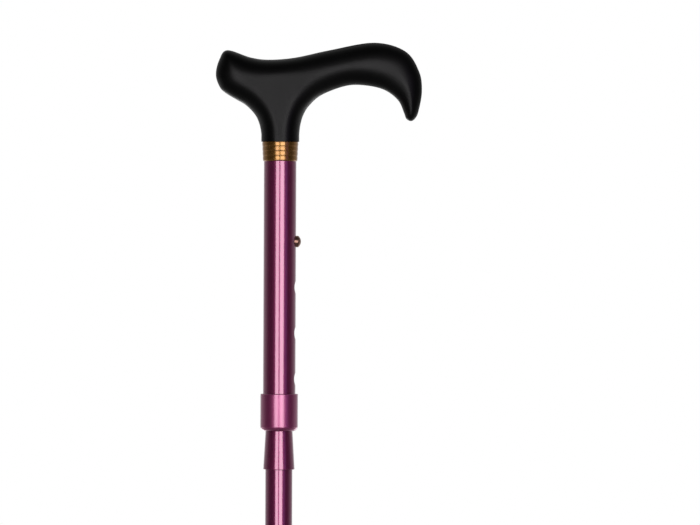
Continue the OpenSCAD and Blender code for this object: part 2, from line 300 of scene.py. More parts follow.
# natural nylon: milky, a little uneven, with soft light inside
def nylonMaterial():
    material, nodes, links = newMaterial("naturalNylon")
    shader = nodes["Principled BSDF"]
    setSockets(shader, Subsurface_Weight=nylon["inside"], Subsurface_Scale=nylon["reach"])
    cloud = objectNoise(nodes, links, nylon["cloud"], detail=3.0)
    mixColour(nodes, links, shader, cloud, nylon["pale"], nylon["warm"])
    mixRough(nodes, links, shader, cloud, *nylon["rough"])
    addBump(nodes, links, shader, cloud, *nylon["bump"])
    return material


# gap is the colour between the strands, darkened to near black as painted shade in the hollows
braid = dict(strand=(0.055, 0.055, 0.06), gap=(0.008, 0.008, 0.009), strandsRound=8, slant=0.32, rough=0.72,
             cover=(-0.4, 0.8), sheen=0.25, sheenRough=0.4, bump=(0.18 * mm, 0.8))


# braided sheath on the cord's own map (round, along): two sets of slanting strands cross each other
def braidMaterial():
    material, nodes, links = newMaterial("braidedSheath")
    shader = nodes["Principled BSDF"]
    setSockets(shader, Roughness=braid["rough"])
    setSockets(shader, Sheen_Weight=braid["sheen"], Sheen_Roughness=braid["sheenRough"])
    uvMap = addNode(nodes, "ShaderNodeUVMap", uv_map="alongPiece")
    split = addNode(nodes, "ShaderNodeSeparateXYZ")
    links.new(uvMap.outputs["UV"], split.inputs["Vector"])

    def strands(slant):
        lean = addNode(nodes, "ShaderNodeMath", operation="MULTIPLY_ADD")
        lean.inputs[1].default_value = slant
        links.new(split.outputs["Y"], lean.inputs[0])
        links.new(split.outputs["X"], lean.inputs[2])
        turn = addNode(nodes, "ShaderNodeMath", operation="MULTIPLY")
        turn.inputs[1].default_value = fullTurn * braid["strandsRound"]
        links.new(lean.outputs["Value"], turn.inputs[0])
        wave = addNode(nodes, "ShaderNodeMath", operation="SINE")
        links.new(turn.outputs["Value"], wave.inputs[0])
        return wave.outputs["Value"]

    crossing = addNode(nodes, "ShaderNodeMath", operation="MAXIMUM")
    links.new(strands(braid["slant"]), crossing.inputs[0])
    links.new(strands(-braid["slant"]), crossing.inputs[1])
    cover = remap(nodes, links, crossing.outputs["Value"], 0, 1, *braid["cover"])
    # painted shade: where neither set of strands covers, the colour goes dark to the gap colour
    mixColour(nodes, links, shader, cover, braid["gap"], braid["strand"])
    addBump(nodes, links, shader, cover, *braid["bump"])
    return material


steel = dict(bright=(0.62, 0.63, 0.66), dark=(0.42, 0.43, 0.45), rough=(0.24, 0.40), mottle=(700, 700, 700))


# zinc-plated steel: mottled and slightly satin
def steelMaterial():
    material, nodes, links = newMaterial("zincPlatedSteel")
    shader = nodes["Principled BSDF"]
    setSockets(shader, Metallic=1.0)
    mottle = objectNoise(nodes, links, steel["mottle"], detail=4.0)
    mixColour(nodes, links, shader, mottle, steel["dark"], steel["bright"])
    mixRough(nodes, links, shader, mottle, *steel["rough"])
    return material


rubber = dict(base=(0.014, 0.014, 0.014), dusty=(0.045, 0.043, 0.041), rough=(0.60, 0.78),
              dust=(120, 120, 160), dustReach=(0.45, 0.8), grain=(2600, 2600, 2600), bump=(0.05 * mm, 0.45))


# moulded rubber: matt, dusty in patches, with a fine moulding grain
def rubberMaterial():
    material, nodes, links = newMaterial("mouldedRubber")
    shader = nodes["Principled BSDF"]
    dust = objectNoise(nodes, links, rubber["dust"], detail=5.0)
    patches = remap(nodes, links, dust, 0, 1, *rubber["dustReach"])
    mixColour(nodes, links, shader, patches, rubber["base"], rubber["dusty"])
    mixRough(nodes, links, shader, dust, *rubber["rough"])
    grain = objectNoise(nodes, links, rubber["grain"], detail=2.0)
    addBump(nodes, links, shader, grain, *rubber["bump"])
    return material


glossPurple = purpleMaterial("metallicPurple", tubePurple)
satinPurple = purpleMaterial("satinPurple", ringPurple)
handleBlack = blackMaterial()
bandGold = goldMaterial()
buttonBrass = brassMaterial()
plugNylon = nylonMaterial()
cordBraid = braidMaterial()
washerSteel = steelMaterial()
tipRubber = rubberMaterial()
print("finishes:", len(bpy.data.materials), "materials")


# Handle

handle = dict(
    length=114 * mm, height=55 * mm, thick=22 * mm, rounding=12 * mm, tightShare=0.17, tightReach=16 * mm,
    noseThin=0.34, tailThin=0.15, neck=10.5 * mm, neckRise=4 * mm, boreDepth=30 * mm, boreGap=0.05 * mm,
    border=9 * mm, softening=4, curveSteps=8, edgeSteps=25,
    depthSteps=40, legLength=20 * mm, legRows=80, leastGap=0.02 * mm,  # for the depth inside the outline,
    plainDepth=0.5 * mm, softOver=1.5 * mm,  # which is plain next to the edge and goes over to soft
    # outline from the tail over the top to the nose and back under: shares of length, height and border
    outlineShares=[
        (-0.165, 0.362, 1.00), (-0.2115, 0.419, 1.00), (-0.263, 0.483, 0.96), (-0.2945, 0.546, 0.92),
        (-0.3143, 0.672, 0.85), (-0.298, 0.822, 0.85), (-0.259, 0.919, 0.95), (-0.146, 0.847, 1.00),
        (-0.056, 0.825, 1.00), (0.071, 0.847, 1.00), (0.235, 0.921, 1.00), (0.454, 1.000, 1.00),
        (0.604, 0.917, 1.00), (0.672, 0.717, 0.95), (0.687, 0.519, 0.70), (0.671, 0.315, 0.38),
        (0.654, 0.237, 0.34), (0.633, 0.213, 0.36), (0.611, 0.237, 0.34), (0.600, 0.296, 0.38),
        (0.571, 0.421, 0.74), (0.503, 0.526, 0.98), (0.408, 0.570, 1.00), (0.316, 0.563, 1.00),
        (0.200, 0.472, 1.00), (0.139, 0.362, 1.00),
    ],
    flareShares=[(0.125, 0.352), (0.415, 0.678)],  # way from the neck to the bar
    saddle=8, noseTip=17,  # knots at the top's lowest point and at the nose's end
)


# knots (x, z, border) of the whole outline: neck up to its flare, the bar, and the neck down again
def handleKnots():
    bar = np.array(handle["outlineShares"]) * [handle["length"], handle["height"], handle["border"]]

    def neckSide(side, target):
        foot = np.array([side * handle["neck"], 0, handle["border"]])
        top = foot + [0, handle["neckRise"], 0]
        share = np.array([(x, z, 0) for x, z in handle["flareShares"]])
        return np.concatenate([[foot, top], top + share * (target - top)])

    return np.concatenate([neckSide(-1, bar[0]), bar, neckSide(1, bar[-1])[::-1]])


# knots of the flank's border: each outline knot goes in by its share, along a normal that is evened out
# with its neighbours
def flankKnots(knots):
    along = np.concatenate([knots[1:], knots[-1:]]) - np.concatenate([knots[:1], knots[:-1]])
    inward = np.stack([along[:, 1], -along[:, 0]], 1)
    inward /= np.linalg.norm(inward, axis=1, keepdims=True)
    for _ in range(handle["softening"]):
        inward[1:-1] = inward[1:-1] + (inward[:-2] + inward[2:]) / 2
        inward /= np.linalg.norm(inward, axis=1, keepdims=True)
    return knots[:, :2] + inward * knots[:, 2:]


# depth inside the outline: the inverse sixth powers of the distances to all its points are summed, and the
# sum, which is 3 pi / (8 d^5) at depth d inside a straight edge, is turned back into a length; so it has no
# ridge along the middle, and by the edge it is the plain distance
def softDepth(x, z, knots):
    curve = smoothCurve(knots[:, :2], handle["depthSteps"])
    drop = np.linspace(handle["legLength"], 0, handle["legRows"], endpoint=False)
    below = np.stack([np.full(len(drop), curve[0, 0]), -drop], 1)  # the outline goes on below the neck
    path = np.concatenate([below, curve, (below * [-1, 1])[::-1]])
    middle, step = (path[1:] + path[:-1]) / 2, np.linalg.norm(path[1:] - path[:-1], axis=1)
    gap = np.hypot(x.reshape(-1, 1) - middle[:, 0], z.reshape(-1, 1) - middle[:, 1])
    nearest = gap.min(1)
    powers = np.sum(step / np.maximum(gap, handle["leastGap"]) ** 6, 1)
    soft = (powers * 8 / (3 * math.pi)) ** (-1 / 5)
    share = np.clip((nearest - handle["plainDepth"]) / handle["softOver"], 0, 1)
    return (nearest + share * (soft - nearest)).reshape(x.shape)


# bar of oval section: depth d inside the outline gives the half thickness there times the root of
# 1 - (1 - d / rounding)^2; rings of points go from the outline to the flank's border, lines between facing
# points of the border fill each flank, and the neck's end is bridged to a round bore for the tube
def makeHandle():
    steps = handle["curveSteps"]
    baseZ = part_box("handle")[0].z
    knots = handleKnots()
    outline, border = smoothCurve(knots[:, :2], steps), smoothCurve(flankKnots(knots), steps)
    # the neck's straight runs need no points between their ends
    straight = np.r_[1:steps, len(outline) - steps:len(outline) - 1]
    outline, border = np.delete(outline, straight, axis=0), np.delete(border, straight, axis=0)
    n = len(outline)
    front, back = outline[:, 0].max(), outline[:, 0].min()

    # half thickness: it lessens by the square of the way to the nose or to the tail, and the rounding is
    # tighter by the shaft
    def halfAt(x, z):
        thin = np.where(x > 0, handle["noseThin"] * (x / front) ** 2, handle["tailThin"] * (x / back) ** 2)
        tight = handle["tightShare"] * np.exp(-((x / handle["tightReach"]) ** 2))
        depth = np.minimum(softDepth(x, z, knots) / (handle["rounding"] * (1 - tight)), 1)
        return handle["thick"] / 2 * (1 - thin) * np.sqrt(1 - (1 - depth) ** 2)

    angle = np.linspace(-math.pi / 2, math.pi / 2, handle["edgeSteps"])[:, None]
    x, z = (outline[:, k] + (1 - np.cos(angle)) * (border[:, k] - outline[:, k]) for k in (0, 1))
    rim = np.stack([x, halfAt(x, z) * np.sign(np.round(angle, 6)), baseZ + z], -1)
    points = [rim.reshape(-1, 3)]
    faces = [gridFaces(len(angle), n, wrapColumns=False)]
    count = rim.shape[0] * n

    neckEnd = 1 + (len(handle["flareShares"]) + 1) * steps
    saddle, nose = neckEnd + handle["saddle"] * steps, neckEnd + handle["noseTip"] * steps
    tailEnd = (neckEnd + saddle) // 2
    share = np.linspace(0, 1, steps + 1)[:, None]
    neckLines = []
    for edgeRing in (rim[0], rim[-1]):
        acrossNeck = edgeRing[neckEnd] + share * (edgeRing[n - 1 - neckEnd] - edgeRing[neckEnd])
        fields = [  # facing lines of points: neck, tail, nose and the middle between them
            (edgeRing[:neckEnd + 1], edgeRing[::-1][:neckEnd + 1]),
            (edgeRing[neckEnd:tailEnd + 1], edgeRing[tailEnd:saddle + 1][::-1]),
            (edgeRing[saddle + steps:nose + 1], edgeRing[nose:2 * nose - saddle - steps + 1][::-1]),
            (edgeRing[saddle:saddle + steps + 1], acrossNeck),
        ]
        for near, far in fields:
            field = (near[:, None] * (1 - share) + far[:, None] * share).reshape(-1, 3)
            field[:, 1] = np.sign(edgeRing[0, 1]) * halfAt(field[:, 0], field[:, 2] - baseZ)
            points.append(field)
            faces.append(gridFaces(len(near), steps + 1, wrapColumns=False) + count)
            count += len(field)
        neckLines.append(points[-len(fields)][:steps + 1])

    # neck's end, then the bore's mouth, its floor and its middle
    neckLoop = np.concatenate([rim[:, -1], neckLines[1][::-1], rim[::-1, 0], neckLines[0]])
    turn = np.arctan2(neckLoop[:, 1], neckLoop[:, 0])
    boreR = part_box("upper_tube")[1].x + handle["boreGap"]
    circle = np.stack([np.cos(turn), np.sin(turn), 0 * turn], 1)
    mouth, boreEnd = [0, 0, baseZ], [0, 0, baseZ + handle["boreDepth"]]
    rows = [neckLoop, circle * boreR + mouth, circle * boreR + boreEnd, circle * 0 + boreEnd]
    points.append(np.concatenate(rows))
    faces.append(gridFaces(len(rows), len(neckLoop)) + count)
    return np.concatenate(points), np.concatenate(faces)


points, faces = makeHandle()
handlePiece = makePiece("derbyHandle", points, faces, handleBlack, sharpDegrees=50)
work = bmesh.new()  # rim and flanks were wound each its own way, so all faces are turned outwards here
work.from_mesh(handlePiece.data)
bmesh.ops.recalc_face_normals(work, faces=work.faces)
work.to_mesh(handlePiece.data)
work.free()
dress(handlePiece, "handle")
print("handle:", len(handlePiece.data.polygons), "faces")


# Collar

collar = dict(beads=4, topWall=1.1 * mm, lowWall=0.6 * mm, grooveDepth=0.15 * mm, rim=0.15 * mm,
              rowsPerBead=16)


# band of beads: the wall leans out to the top, and each bead falls off from its crown by the square of the
# way to its groove
def makeCollar():
    low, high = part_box("gold_collar")
    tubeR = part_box("upper_tube")[1].x
    share = np.linspace(0, 1, collar["beads"] * collar["rowsPerBead"] + 1)
    wall = collar["lowWall"] + (collar["topWall"] - collar["lowWall"]) * share
    fromCrown = 2 * (collar["beads"] * share % 1) - 1
    outer = tubeR + wall - collar["grooveDepth"] * fromCrown**2
    height = low.z + collar["rim"] + (high.z - low.z - 2 * collar["rim"]) * share
    inner = tubeR + handle["boreGap"]
    profile = np.concatenate([
        np.stack([outer, height], 1),
        [(inner, high.z), (inner, low.z)],
    ])
    return turnProfile(profile)


points, faces = makeCollar()
dress(makePiece("beadedCollar", points, faces, bandGold, sharpDegrees=60), "gold_collar")


# Tubes

shaft = dict(wall=1.1 * mm, outerWall=1.2 * mm, lip=0.18 * mm, flare=21 * mm, socketGap=0.1 * mm,
             kneeRound=12 * mm, mouthRound=0.288 * mm, arcSteps=9,
             holeR=3.5 * mm, holeEdge=0.2 * mm, holePitch=25.4 * mm, holes=4, buttonRise=5 * mm,
             columns=128, patchColumns=20, patchRise=4.6 * mm, patchShares=(0, 0.35, 0.7, 1))
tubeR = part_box("shaft_section_5")[1].x
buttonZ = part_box("snap_button")[0].z + shaft["buttonRise"]  # the box starts at the ends of the leaf's legs


# tube wall with round holes through its +X side: the wall's grid leaves a square open round each hole,
# and rings of points between the square and the hole's circle fill it, from the outside to the inside
def drilledTube(profile, outerR, innerR, holeHeights):
    columns, wide = shaft["columns"], shaft["patchColumns"]
    points, faces = turnProfile(profile, columns)
    centre = points[faces].mean(1)
    angle = np.arctan2(centre[:, 1], centre[:, 0])
    halfAngle = wide / 2 * fullTurn / columns
    byHole = np.abs(centre[:, 2:] - np.array(holeHeights)[None]) < shaft["patchRise"]
    faces = faces[~((np.abs(angle) < halfAngle) & byHole.any(1))]

    t = np.linspace(-1, 1, wide + 1)[:-1]
    squareA = np.concatenate([t, np.ones(wide), -t, -np.ones(wide)]) * halfAngle
    squareZ = np.concatenate([-np.ones(wide), t, np.ones(wide), -t]) * shaft["patchRise"]

    # ring of points on a wall: share 0 is the square's edge, and 1 the circle of radius r
    def ringAt(radius, r, share):
        aim = np.arctan2(squareZ, radius * np.sin(squareA))
        a = squareA + share * (np.arcsin(r * np.cos(aim) / radius) - squareA)
        z = squareZ + share * (r * np.sin(aim) - squareZ)
        return np.stack([radius * np.cos(a), radius * np.sin(a), z], 1)

    edge, r = shaft["holeEdge"], shaft["holeR"]
    rings = [ringAt(outerR, r + edge, s) for s in shaft["patchShares"]]
    rings += [ringAt(outerR - edge, r, 1), ringAt(innerR, r, 1)]
    rings += [ringAt(innerR, r, s) for s in shaft["patchShares"][-2::-1]]
    patch = np.concatenate(rings)
    patchFaces = gridFaces(len(rings), len(squareA))
    shifted = [patch + [0, 0, z] for z in holeHeights]
    allFaces = [faces] + [patchFaces + len(points) + k * len(patch) for k in range(len(holeHeights))]
    return np.concatenate([points] + shifted), np.concatenate(allFaces)


# heights where a wall needs rows: both ends and every row of the squares round its holes
def wallRows(low, high, holeHeights):
    rise = np.linspace(-1, 1, shaft["patchColumns"] + 1) * shaft["patchRise"]
    rows = np.concatenate([[low, high]] + [z + rise for z in holeHeights])
    return np.unique(np.round(rows, 7))


# straight stretch of a profile: one radius at all the given heights
def straightWall(r, z):
    return np.stack([np.full(len(z), r), z], 1)


# upper tube: plain, with its row of adjustment holes on the nose's side
def makeUpperTube():
    low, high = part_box("upper_tube")
    outerR, lip = high.x, shaft["lip"]
    innerR = outerR - shaft["outerWall"]
    holes = [buttonZ - k * shaft["holePitch"] for k in range(shaft["holes"])]
    rows = wallRows(low.z + lip, high.z - lip, holes)
    profile = np.concatenate([
        straightWall(outerR, rows),
        [(outerR - lip, high.z), (innerR + lip, high.z)],
        straightWall(innerR, rows[::-1]),
        [(innerR + lip, low.z), (outerR - lip, low.z)],
    ])
    return drilledTube(profile, outerR, innerR, holes)


points, faces = makeUpperTube()
dress(makePiece("upperTube", points, faces, glossPurple), "upper_tube")


# corners of a drawn tube that opens into a flared socket at its lower end
def flaredCorners(low, high, mouthR):
    lip, wall, soft = shaft["lip"], shaft["wall"], shaft["kneeRound"]
    knee = low + shaft["flare"]
    return [
        (tubeR, high, lip), (tubeR, knee, soft), (mouthR, low, shaft["mouthRound"]),
        (mouthR - wall, low, lip), (tubeR - wall, knee, soft), (tubeR - wall, high, lip),
    ]


# sliding tube: the flared tube with one hole for the button
def makeSlidingTube():
    low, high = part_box("sliding_tube")
    innerR = tubeR - shaft["wall"]
    arcs = roundedProfile(flaredCorners(low.z, high.z, high.x), shaft["arcSteps"])
    top, flareOut, mouthOut, mouthIn, flareIn, topIn = arcs.reshape(-1, shaft["arcSteps"], 2)
    rows = wallRows(buttonZ - shaft["patchRise"], buttonZ + shaft["patchRise"], [buttonZ])
    profile = np.concatenate([
        top, straightWall(tubeR, rows[::-1]), flareOut, mouthOut,
        mouthIn, flareIn, straightWall(innerR, rows), topIn,
    ])
    return drilledTube(profile, tubeR, innerR, [buttonZ])


points, faces = makeSlidingTube()
dress(makePiece("slidingTube", points, faces, glossPurple), "sliding_tube")

for k in (2, 3, 4):
    low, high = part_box(f"shaft_section_{k}")
    corners = flaredCorners(low.z, high.z, high.x)
    turned(f"shaftSection{k}", f"shaft_section_{k}", corners, glossPurple, shaft["arcSteps"])

low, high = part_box("shaft_section_5")
turned("shaftSection5", "shaft_section_5", [
    (tubeR, low.z, shaft["lip"]), (tubeR, high.z, shaft["lip"]),
    (tubeR - shaft["wall"], high.z, shaft["lip"]), (tubeR - shaft["wall"], low.z, shaft["lip"]),
], glossPurple)

# tapered spigots: the socket's own taper, one clearance inside it
for k in (1, 2, 3, 4):
    low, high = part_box(f"joint_spigot_{k}")
    lean = (shaft["wall"] + shaft["socketGap"]) / shaft["flare"]
    topR = tubeR - lean * (high.z - low.z)
    turned(f"taperedSpigot{k}", f"joint_spigot_{k}", [
        (tubeR - shaft["wall"], low.z, 0), (tubeR, low.z, shaft["lip"]),
        (topR, high.z, 2 * shaft["lip"]), (topR - shaft["wall"], high.z, shaft["lip"]),
    ], glossPurple)
print("shaft: tubes, sockets and spigots")


# Lock ring and the olive inside it

ring = dict(lip=1.6 * mm, oliveRise=5.4 * mm, lowRound=2.6 * mm, topRound=0.45 * mm, throat=7.9 * mm,
            coneLow=8.5 * mm, threadR=9.15 * mm, threadEdge=0.2 * mm, throatEdge=0.25 * mm, arcSteps=11)


# corners of the ring: rounded outside, and inside a bore for the thread, a cone for the olive and a throat
def ringCorners():
    low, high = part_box("lock_ring")
    outerR, seat = high.x, low.z + ring["lip"]
    return [
        (outerR, low.z, ring["lowRound"]), (outerR, high.z, ring["topRound"]),
        (ring["threadR"], high.z, ring["threadEdge"]), (ring["threadR"], seat + ring["oliveRise"], 0),
        (ring["coneLow"], seat, 0), (ring["throat"], seat, 0), (ring["throat"], low.z, ring["throatEdge"]),
    ]


turned("lockRing", "lock_ring", ringCorners(), satinPurple, ring["arcSteps"])

olive = dict(innerR=7.65 * mm, lowWall=0.7 * mm, topWall=1.2 * mm, slit=1 * mm, edge=0.12 * mm,
             columns=96, arcSteps=5)


# split ring: its profile goes round from one face of the slit to the other, and both faces are closed
def makeOlive():
    low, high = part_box("clamp_olive")
    innerR, edge = olive["innerR"], olive["edge"]
    profile = roundedProfile([
        (innerR, low.z, edge), (innerR + olive["lowWall"], low.z, edge),
        (innerR + olive["topWall"], high.z, edge), (innerR, high.z, edge),
    ], olive["arcSteps"])
    gap = olive["slit"] / 2 / innerR
    angle = np.linspace(-math.pi + gap, math.pi - gap, olive["columns"])
    turn = np.concatenate([angle[:1], angle, angle[-1:]])[:, None]
    loops = np.stack([profile] * len(turn))
    loops[[0, -1]] = profile.mean(0)
    grid = np.stack([loops[..., 0] * np.cos(turn), loops[..., 0] * np.sin(turn), loops[..., 1]], -1)
    return grid.reshape(-1, 3), gridFaces(len(turn), len(profile))


points, faces = makeOlive()
dress(makePiece("clampOlive", points, faces, plugNylon), "clamp_olive")


# Snap button and its leaf

button = dict(r=3.2 * mm, dome=1.5 * mm, domeShare=0.93, domeRows=16, shoulder=0.35 * mm, edge=0.2 * mm,
              columns=64, leafT=0.6 * mm, leafW=5 * mm, leafRise=16 * mm, leafReach=5.74 * mm,
              leafEdge=0.15 * mm, leafArcSteps=4, legRows=12, bendRows=25, travel=4 * mm)


# button along X: a drawn cup with a domed end, as a profile of (radius, x) turned about its own axis
def makeButton():
    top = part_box("snap_button")[1].x
    base = button["leafReach"] - button["leafT"]
    r, edge = button["r"], button["edge"]
    sphereR = (r**2 + button["dome"] ** 2) / (2 * button["dome"])
    spread = np.linspace(0, math.asin(r / sphereR) * button["domeShare"], button["domeRows"])
    dome = np.stack([sphereR * np.sin(spread), top - sphereR * (1 - np.cos(spread))], 1)
    side = [(r, dome[-1, 1] - button["shoulder"]), (r, base + edge), (r - edge, base), (0, base)]
    profile = np.concatenate([dome, side])
    angle = np.linspace(0, fullTurn, button["columns"], endpoint=False)
    out, x = profile[:, :1], profile[:, 1:]
    grid = np.stack([x + 0 * angle, out * np.cos(angle), buttonZ + out * np.sin(angle)], -1)
    return grid.reshape(-1, 3), gridFaces(len(profile), len(angle))


points, faces = makeButton()
dress(makePiece("snapButton", points, faces, buttonBrass), "snap_button")


# hairpin leaf: a flat strip's section goes up one side, round the bend and down the other, turned with its
# line, and each end is closed at its middle
def makeLeaf():
    reach, bendZ = button["leafReach"] - button["leafT"] / 2, buttonZ + button["leafRise"]
    legs = np.linspace(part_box("snap_button")[0].z, bendZ, button["legRows"])[:-1]
    bend = np.linspace(0, math.pi, button["bendRows"])
    lineX = np.concatenate([np.full(len(legs), reach), reach * np.cos(bend), np.full(len(legs), -reach)])
    lineZ = np.concatenate([legs, bendZ + reach * np.sin(bend), legs[::-1]])
    out = np.concatenate([np.zeros(len(legs)), bend, np.full(len(legs), math.pi)])
    t, w, edge = button["leafT"] / 2, button["leafW"] / 2, button["leafEdge"]
    section = roundedProfile([(-t, -w, edge), (t, -w, edge), (t, w, edge), (-t, w, edge)],
                             button["leafArcSteps"])
    pick = np.r_[0, np.arange(len(lineX)), len(lineX) - 1]
    loops = np.stack([section] * len(pick))
    loops[[0, -1]] = 0
    x = lineX[pick, None] + loops[..., 0] * np.cos(out[pick, None])
    z = lineZ[pick, None] + loops[..., 0] * np.sin(out[pick, None])
    grid = np.stack([x, loops[..., 1], z], -1)
    return grid.reshape(-1, 3), gridFaces(len(pick), len(section))


points, faces = makeLeaf()
leaf = makePiece("buttonLeaf", points, faces, buttonBrass)
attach(leaf, "sliding_shaft")
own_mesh(leaf)
print("height lock: ring, olive, button and leaf")


# Plugs inside the tubes

plug = dict(boreR=2.3 * mm, edge=0.35 * mm, cap=1.5 * mm, fit=0.05 * mm)
boreR, edge = plug["boreR"], plug["edge"]

low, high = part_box("guide_plug")
plugR, capZ = tubeR - shaft["wall"] - plug["fit"], high.z - plug["cap"]
turned("guidePlug", "guide_plug", [
    (plugR, low.z, edge), (plugR, capZ, 0), (high.x, capZ, 0),
    (high.x, high.z, edge), (boreR, high.z, edge), (boreR, low.z, edge),
], plugNylon)
for name in ("upper", "lower"):
    low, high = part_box(f"{name}_cord_anchor")
    turned(f"{name}CordAnchor", f"{name}_cord_anchor", [
        (high.x, low.z, edge), (high.x, high.z, edge), (boreR, high.z, edge), (boreR, low.z, edge),
    ], plugNylon)

washer = dict(boreR=2 * mm, edge=0.2 * mm, outerEdge=0.3 * mm)

low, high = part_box("tip_washer")
turned("tipWasher", "tip_washer", [
    (high.x, low.z, washer["edge"]), (high.x, high.z, washer["outerEdge"]),
    (washer["boreR"], high.z, washer["edge"]), (washer["boreR"], low.z, washer["edge"]),
], washerSteel)


# Elastic cord

cord = dict(r=2 * mm, columns=24, pullTop=24 * mm, crossing=1 * mm, pullRows=24, foldRows=40, plainRows=9)


# round cord down the shaft's axis, closed at both ends; its map is (share round, length in diameters)
def makeCord(name, high, low, rows, mapLength=None):
    angle = np.linspace(0, fullTurn, cord["columns"], endpoint=False)
    z = np.r_[high, np.linspace(high, low, rows), low]
    r = np.r_[0, np.full(rows, cord["r"]), 0][:, None]
    grid = np.stack([r * np.cos(angle), r * np.sin(angle), z[:, None] + 0 * angle], -1)
    faces = gridFaces(len(z), cord["columns"])
    length = (high - low if mapLength is None else mapLength) / (2 * cord["r"])
    cornerUv = gridUv(np.linspace(0, 1, cord["columns"] + 1), (high - z) / (high - low) * length)
    return makePiece(name, grid.reshape(-1, 3), faces, cordBraid, cornerUv, sharpDegrees=60)


mouths = [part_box(f"joint_spigot_{k}")[0].z for k in (1, 2, 3, 4)]
uppers = ["sliding_shaft", "section_2", "section_3", "section_4"]
joints = {j["name"]: j for j in frame["joints"]}
for k in (1, 2, 3, 4, 5):
    low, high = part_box(f"elastic_cord_{k}")
    top = high.z if k == 1 else high.z - cord["crossing"]
    bottom = low.z if k == 5 else low.z + cord["pullTop"]
    dress(makeCord(f"cordLength{k}", top, bottom, cord["plainRows"]), f"elastic_cord_{k}")

# at each joint a short length mapped as long as the pulled-out cord, and the next as long as the bend
for k, (mouth, upper) in enumerate(zip(mouths, uppers), 1):
    cross = cord["crossing"]
    pull = joints[f"pull_{k}"]["range_m"][1]
    stretch = makeCord(f"cordStretch{k}", mouth + cord["pullTop"], mouth + cross, cord["pullRows"],
                       cord["pullTop"] + pull)
    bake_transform(stretch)
    arm = abs(joints[f"fold_{k}"]["pos_m"][0])
    bend = makeCord(f"cordBend{k}", mouth + cross, mouth - cross, cord["foldRows"], math.pi * arm)
    ends = [(f"spigot_{k}", (0, 0, mouth + cross)), (f"section_{k + 1}", (0, 0, mouth - cross))]
    # the bend's ends and their bodies, listed from the far end for a fold towards the nose
    if joints[f"fold_{k}"]["axis"][1] < 0:
        ends.reverse()
    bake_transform(bend)

knot = dict(lobes=3, swell=0.16, wind=2.2, rows=40, columns=64, mapRound=2, mapLong=4)


# knotted end: a ball whose radius swells along three strands that wind from pole to pole
def makeKnot(name, node):
    low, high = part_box(node)
    centre = (np.array(low) + np.array(high)) / 2
    half = (np.array(high) - np.array(low)) / 2
    down = np.linspace(0, math.pi, knot["rows"])[:, None]
    turn = np.linspace(0, fullTurn, knot["columns"], endpoint=False)[None]
    strand = np.cos(knot["lobes"] * (turn + knot["wind"] * np.cos(down)))
    size = 1 - knot["swell"] * (1 - strand) / 2 * np.sin(down)
    ball = np.stack([np.sin(down) * np.cos(turn), np.sin(down) * np.sin(turn), np.cos(down) + 0 * turn], -1)
    grid = centre + ball * size[..., None] * half
    u = np.arange(knot["columns"] + 1) * knot["mapRound"] / knot["columns"]
    v = np.arange(knot["rows"]) * knot["mapLong"] / knot["rows"]
    faces = gridFaces(knot["rows"], knot["columns"])
    dress(makePiece(name, grid.reshape(-1, 3), faces, cordBraid, gridUv(u, v)), node)


makeKnot("upperKnot", "upper_knot")
makeKnot("lowerKnot", "lower_knot")
print("cord: five lengths, four stretches, four bends and two knots")


# Rubber tip

tip = dict(floor=10 * mm, fit=0.05 * mm, sleeve=2.6 * mm, bead=0.8 * mm, baseShare=0.22, stepShare=0.45,
           beadShare=0.14, land=3.4 * mm, tread=1.2 * mm, edge=0.8 * mm,
           # roundings in mm of the corners below, row by row
           roundings=[
               0, 0.5, 0.3, 0.3, 0.5, 0.4,
               0.6, 0.6, 0.5,
               1.2, 0.6, 0.8,
               0.4, 0.4, 0.5, 0.4,
               0.3, 0.2, 0,
           ])


# corners of the ferrule, from the sole's middle out, up and into the bore: flared base with a ring groove
# in its sole, a step, a sleeve and a bead at its mouth
def tipCorners():
    low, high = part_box("rubber_tip")
    tall, baseR = high.z - low.z, high.x
    sleeveR, innerR = tubeR + tip["sleeve"], tubeR + tip["fit"]
    stepR, landR = (sleeveR + baseR) / 2, baseR - tip["edge"]
    baseH, stepH = tall * tip["baseShare"], tall * tip["stepShare"]
    beadZ, beadR = tall * (1 - tip["beadShare"]), sleeveR + tip["bead"]
    outR, inR, tread = landR - tip["land"], landR - 2 * tip["land"], tip["tread"]  # the sole's groove
    corners = [
        (0, 0), (inR, 0), (inR, tread), (outR, tread), (outR, 0), (landR, 0),
        (baseR, tip["edge"]), (baseR, baseH - tip["edge"]), (landR, baseH),
        (stepR, baseH + tip["edge"]), (stepR, stepH), (sleeveR, stepH + tip["edge"]),
        (sleeveR, beadZ), (beadR, beadZ + tip["bead"]), (beadR, tall - tip["bead"]), (sleeveR, tall),
        (innerR, tall), (innerR, tip["floor"]), (0, tip["floor"]),
    ]
    return np.column_stack([corners, np.array(tip["roundings"]) * mm])


turned("rubberTip", "rubber_tip", tipCorners(), tipRubber)
print("foot: washer and rubber tip")


# Camera, at the photograph's frame of 700 by 525

view = dict(pixel=0.5535 * mm, wide=700, tall=525, axisPixel=279.75, collarPixel=142.0, distance=3.0,
            rollDegrees=0.245, sensor=36.0, clipEnd=100)


def makeCamera():
    centreX = (view["wide"] / 2 - view["axisPixel"]) * view["pixel"]
    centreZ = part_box("handle")[0].z - (view["tall"] / 2 - view["collarPixel"]) * view["pixel"]
    data = bpy.data.cameras.new("studioCamera")
    data.sensor_width = view["sensor"]
    data.lens = view["sensor"] * view["distance"] / (view["wide"] * view["pixel"])
    camera = bpy.data.objects.new("studioCamera", data)
    turn = Matrix.Rotation(math.pi / 2, 4, "X") @ Matrix.Rotation(math.radians(view["rollDegrees"]), 4, "Z")
    camera.matrix_world = Matrix.Translation((centreX, -view["distance"], centreZ)) @ turn
    data.clip_end = view["clipEnd"]
    bpy.context.scene.collection.objects.link(camera)
    bpy.context.scene.camera = camera


makeCamera()


# Light: two tall panels beside the camera, a faint cool one to the right and two low ones behind, in a
# studio with dark sides and a white back

